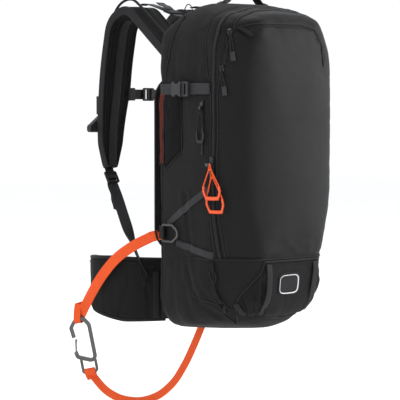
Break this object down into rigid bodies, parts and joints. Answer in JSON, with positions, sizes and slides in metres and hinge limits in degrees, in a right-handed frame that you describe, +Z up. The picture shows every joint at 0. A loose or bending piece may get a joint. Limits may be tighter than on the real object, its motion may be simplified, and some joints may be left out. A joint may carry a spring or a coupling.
{
  "type": "avalanche airbag backpack",
  "caption": "Ski touring backpack with a blower-inflated avalanche airbag, worn harness, closed hip belt, leg strap with wire-gate carabiner, and a front panel that unzips.",
  "frame": {"origin": "lower middle of the face that rests on the wearer's back, level with the underside of the bag", "axes": "+Z up, +Y from the pack into the wearer's back, +X to the wearer's right"},
  "size_m": [0.3515, 0.4735, 0.7495],
  "materials": {
    "bag_fabric": "ripstop nylon, matt",
    "panel_fabric": "coated stretch nylon, matt",
    "trim_fabric": "reinforced nylon",
    "mesh_foam": "air mesh over foam",
    "black_webbing": "woven nylon webbing",
    "grey_webbing": "woven nylon webbing",
    "orange_webbing": "woven nylon webbing",
    "zip_coil": "moulded coil on coated tape",
    "zip_metal": "black lacquer",
    "orange_pull": "moulded soft plastic and cord",
    "dark_pull": "moulded soft plastic and cord",
    "black_plastic": "moulded acetal",
    "grey_plastic": "moulded acetal",
    "grey_metal": "anodised grey",
    "wire_metal": "polished wire",
    "stay_metal": "mill finish",
    "frame_plastic": "polyethylene sheet",
    "drive_plastic": "glass-filled nylon",
    "drive_grey": "glass-filled nylon",
    "balloon_red": "coated ripstop nylon",
    "label_white": "woven label"
  },
  "bodies": {
    "pack": {"main_bag": "bag_fabric", "main_zip_coil": "zip_coil", "lower_front_skin": "trim_fabric", "label_patch": "label_white", "tool_loops": "black_webbing", "back_pad": "mesh_foam", "lumbar_pad": "mesh_foam", "frame_sheet": "frame_plastic", "frame_stays": "stay_metal", "blower_housing": "drive_plastic", "energy_pack": "drive_grey", "folded_airbag": "balloon_red", "burst_seams": "balloon_red", "compression_rear": "grey_webbing", "compression_sockets": "grey_plastic", "v_straps": "grey_webbing", "ring_tabs": "black_webbing", "side_zip_coil": "zip_coil", "hip_wing_left": "trim_fabric", "hip_wing_right": "trim_fabric", "hip_webbing_left": "black_webbing", "hip_webbing_right": "black_webbing", "hip_buckle_socket": "black_plastic", "shoulder_strap_left": "mesh_foam", "shoulder_strap_right": "mesh_foam", "load_lifters": "black_webbing", "lifter_locks": "black_plastic", "lower_webbings": "black_webbing", "strap_adjusters": "black_plastic", "haul_loop": "black_webbing", "handle_socket": "black_plastic", "release_cable": "black_plastic", "leg_strap_upper": "orange_webbing", "leg_strap_lower": "orange_webbing", "carabiner_body": "grey_metal"},
    "front_panel": {"front_panel": "panel_fabric", "pocket_zip_coil": "zip_coil"},
    "slider_upper": {"main_slider_upper": "zip_metal"},
    "slider_lower": {"main_slider_lower": "zip_metal"},
    "pull_upper": {"main_pull_upper": "orange_pull"},
    "pull_lower": {"main_pull_lower": "orange_pull"},
    "side_slider": {"side_slider": "zip_metal"},
    "side_pull": {"side_pull": "dark_pull"},
    "side_plug_left": {"compression_plug_left": "grey_plastic", "compression_front_left": "grey_webbing"},
    "side_plug_right": {"compression_plug_right": "grey_plastic", "compression_front_right": "grey_webbing"},
    "ring_left": {"side_ring_left": "grey_metal"},
    "ring_right": {"side_ring_right": "grey_metal"},
    "release_handle": {"release_handle": "grey_plastic"},
    "switch_knob": {"switch_knob": "orange_pull"},
    "impeller": {"impeller": "drive_grey"},
    "gate": {"carabiner_gate": "wire_metal"},
    "sternum_left": {"sternum_clip_left": "black_plastic", "sternum_webbing_left": "black_webbing"},
    "sternum_right": {"sternum_clip_right": "black_plastic", "sternum_webbing_right": "black_webbing", "sternum_socket": "black_plastic"},
    "sternum_plug": {"sternum_plug": "black_plastic"},
    "hip_plug": {"hip_buckle_plug": "black_plastic"}
  },
  "joints": [
    {"name": "front_panel_fold", "type": "hinge", "parent": "pack", "child": "front_panel", "pos_m": [0, -0.2425, 0.138], "axis": [1, 0, 0], "range_deg": [0, 75]},
    {"name": "main_slider_upper_run", "type": "slide", "parent": "pack", "child": "slider_upper", "axis": [0, 0, 1], "range_m": [0, 0.15]},
    {"name": "main_slider_lower_run", "type": "slide", "parent": "pack", "child": "slider_lower", "axis": [0, 0, -1], "range_m": [0, 0.12]},
    {"name": "main_pull_upper_swing", "type": "hinge", "parent": "slider_upper", "child": "pull_upper", "pos_m": [-0.147, -0.1715, 0.3], "axis": [-0.309, 0.9511, 0], "range_deg": [0, 110]},
    {"name": "main_pull_lower_swing", "type": "hinge", "parent": "slider_lower", "child": "pull_lower", "pos_m": [-0.141, -0.1715, 0.286], "axis": [-0.309, 0.9511, 0], "range_deg": [0, 110]},
    {"name": "side_slider_run", "type": "slide", "parent": "pack", "child": "side_slider", "axis": [0, 0, -1], "range_m": [0, 0.07]},
    {"name": "side_pull_swing", "type": "hinge", "parent": "side_slider", "child": "side_pull", "pos_m": [-0.14, -0.146, 0.397], "axis": [0, 1, 0], "range_deg": [0, 110]},
    {"name": "side_buckle_left", "type": "slide", "parent": "pack", "child": "side_plug_left", "axis": [0, -1, 0], "range_m": [0, 0.025]},
    {"name": "side_buckle_right", "type": "slide", "parent": "pack", "child": "side_plug_right", "axis": [0, -1, 0], "range_m": [0, 0.025]},
    {"name": "side_ring_left_swing", "type": "hinge", "parent": "pack", "child": "ring_left", "pos_m": [-0.1405, -0.044, 0.176], "axis": [0, 0, -1], "range_deg": [0, 100]},
    {"name": "side_ring_right_swing", "type": "hinge", "parent": "pack", "child": "ring_right", "pos_m": [0.1405, -0.044, 0.176], "axis": [0, 0, 1], "range_deg": [0, 100]},
    {"name": "release_pull", "type": "slide", "parent": "pack", "child": "release_handle", "axis": [0, 0, -1], "range_m": [0, 0.025], "stiffness_N_per_m": 200, "springref_m": -0.006},
    {"name": "switch_turn", "type": "hinge", "parent": "pack", "child": "switch_knob", "pos_m": [0.03, -0.0714, 0.33], "axis": [0, -1, 0], "range_deg": [0, 90]},
    {"name": "impeller_spin", "type": "hinge", "parent": "pack", "child": "impeller", "pos_m": [0, -0.04, 0.43], "axis": [0, -1, 0], "continuous": true},
    {"name": "carabiner_gate_swing", "type": "hinge", "parent": "pack", "child": "gate", "pos_m": [-0.17909, 0.16614, -0.05931], "axis": [0.6428, 0.766, 0], "range_deg": [0, 24], "stiffness_Nm_per_rad": 0.04, "springref_deg": -17.19},
    {"name": "sternum_left_run", "type": "slide", "parent": "pack", "child": "sternum_left", "axis": [0, 0, 1], "range_m": [-0.02, 0.02]},
    {"name": "sternum_right_run", "type": "slide", "parent": "pack", "child": "sternum_right", "axis": [0, 0, 1], "range_m": [-0.02, 0.02]},
    {"name": "sternum_buckle", "type": "slide", "parent": "sternum_left", "child": "sternum_plug", "axis": [-1, 0, 0], "range_m": [0, 0.02]},
    {"name": "hip_buckle", "type": "slide", "parent": "pack", "child": "hip_plug", "axis": [1, 0, 0], "range_m": [0, 0.026]}
  ],
  "couplings": [
    {"joint": "main_pull_upper_swing", "follows": "main_pull_lower_swing", "ratio": 1},
    {"joint": "sternum_right_run", "follows": "sternum_left_run", "ratio": 1}
  ]
}
